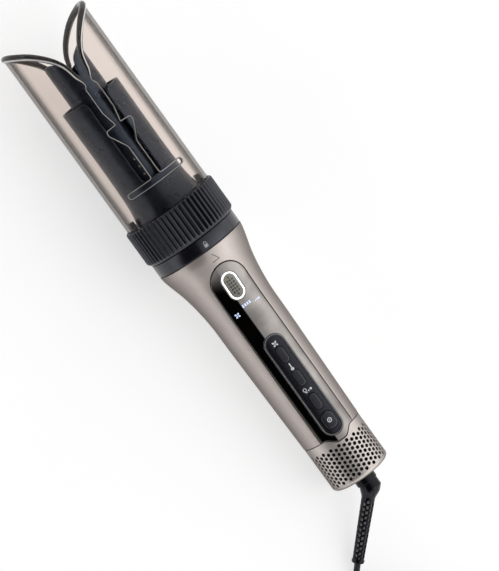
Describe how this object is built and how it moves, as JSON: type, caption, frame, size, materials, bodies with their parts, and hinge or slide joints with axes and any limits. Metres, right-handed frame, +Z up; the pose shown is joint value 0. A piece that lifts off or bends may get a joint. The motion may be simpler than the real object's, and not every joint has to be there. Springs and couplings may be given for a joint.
{
  "type": "automatic hair curler",
  "caption": "Hot-air automatic hair curler: clear slotted curling shroud round a barrel, ribbed twist-lock ring, metallic handle with control panel, vented rear cover and swivel cord with plug.",
  "frame": {"origin": "centre of the tool's footprint on the surface that it lies on, without its cord", "axes": "+Y towards the petal tips along the tool, +Z up out of the control panel, +X to the right seen from above with the tips up"},
  "size_m": [0.099, 0.5333, 0.0684],
  "materials": {
    "clear_smoke": "clear smoke-tinted, polished",
    "barrel_black": "satin black",
    "ribbed_black": "moulded ribs, satin black",
    "gloss_black": "piano black",
    "champagne": "metallic champagne taupe, satin",
    "grille_metal": "punched, champagne anodised",
    "filter_steel": "fine woven mesh",
    "button_black": "soft satin",
    "light_white": "lit white light guide",
    "board_green": "solder mask",
    "inner_resin": "natural heat-resistant resin",
    "inner_steel": "plain",
    "mica": "pressed mica",
    "seal_rubber": "silicone",
    "contact_brass": "plain",
    "lead_red": "silicone wire",
    "lead_blue": "silicone wire",
    "neck_black": "smooth black",
    "cord_black": "matt vinyl",
    "tie_black": "woven strap",
    "pin_nickel": "nickel plated"
  },
  "bodies": {
    "cord_set": {"swivel_neck": "neck_black", "strain_relief": "cord_black", "cord_lead": "cord_black", "cord_coil": "cord_black", "coil_tie": "tie_black", "cord_tail": "cord_black", "plug_body": "cord_black", "plug_pin_left": "pin_nickel", "plug_pin_right": "pin_nickel"},
    "handle": {"handle_shell": "champagne", "control_panel": "gloss_black", "button_bezel": "gloss_black", "display_light_ring": "light_white", "display_window": "gloss_black", "main_board": "board_green", "fan_housing": "inner_resin", "fan_seal": "seal_rubber", "motor_can": "inner_steel", "motor_mount": "seal_rubber", "heater_tube": "mica", "heater_frame": "mica", "heater_coil": "inner_steel", "thermal_fuse": "inner_steel", "ion_emitter": "inner_resin", "mouth_seal": "seal_rubber", "rear_frame": "inner_resin", "slip_ring_block": "contact_brass", "lead_live": "lead_red", "lead_neutral": "lead_blue", "frame_screw_left": "inner_steel", "frame_screw_right": "inner_steel"},
    "rotor": {"impeller": "inner_resin", "motor_shaft": "inner_steel"},
    "filter_cover": {"filter_cover": "grille_metal", "filter_mesh": "filter_steel"},
    "lock_ring": {"bayonet_ring": "inner_steel"},
    "attachment": {"shroud": "clear_smoke", "barrel_sleeve": "barrel_black", "barrel_core": "barrel_black", "air_swirler": "barrel_black", "barrel_base": "barrel_black", "grip_ring": "ribbed_black", "lock_collar": "gloss_black", "coupling_spigot": "barrel_black", "spigot_seal": "seal_rubber"},
    "button_fan": {"button_fan": "button_black"},
    "button_heat": {"button_heat": "button_black"},
    "button_curl": {"button_curl": "button_black"},
    "power_button": {"power_button": "button_black"}
  },
  "joints": [
    {"name": "cord_swivel", "type": "hinge", "parent": "cord_set", "child": "handle", "pos_m": [0, -0.16167, 0.01947], "axis": [0, 0.9978, 0.0657], "continuous": true},
    {"name": "fan_spin", "type": "hinge", "parent": "handle", "child": "rotor", "pos_m": [0, -0.10679, 0.02308], "axis": [0, 0.9978, 0.0657], "continuous": true},
    {"name": "filter_cover_pull", "type": "slide", "parent": "handle", "child": "filter_cover", "axis": [0, -0.9978, -0.0657], "range_m": [0, 0.006]},
    {"name": "attachment_lock", "type": "hinge", "parent": "handle", "child": "lock_ring", "pos_m": [0, -0.00201, 0.02997], "axis": [0, 0.9978, 0.0657], "range_deg": [0, 30]},
    {"name": "attachment_pull", "type": "slide", "parent": "lock_ring", "child": "attachment", "axis": [0, 0.9978, 0.0657], "range_m": [0, 0.02]},
    {"name": "button_fan_press", "type": "slide", "parent": "handle", "child": "button_fan", "axis": [0, 0.0657, -0.9978], "range_m": [0, 0.0008], "stiffness_N_per_m": 900, "springref_m": -0.0006},
    {"name": "button_heat_press", "type": "slide", "parent": "handle", "child": "button_heat", "axis": [0, 0.0657, -0.9978], "range_m": [0, 0.0008], "stiffness_N_per_m": 900, "springref_m": -0.0006},
    {"name": "button_curl_press", "type": "slide", "parent": "handle", "child": "button_curl", "axis": [0, 0.0657, -0.9978], "range_m": [0, 0.0008], "stiffness_N_per_m": 900, "springref_m": -0.0006},
    {"name": "power_button_press", "type": "slide", "parent": "handle", "child": "power_button", "axis": [0, 0.0657, -0.9978], "range_m": [0, 0.0008], "stiffness_N_per_m": 900, "springref_m": -0.0006}
  ]
}
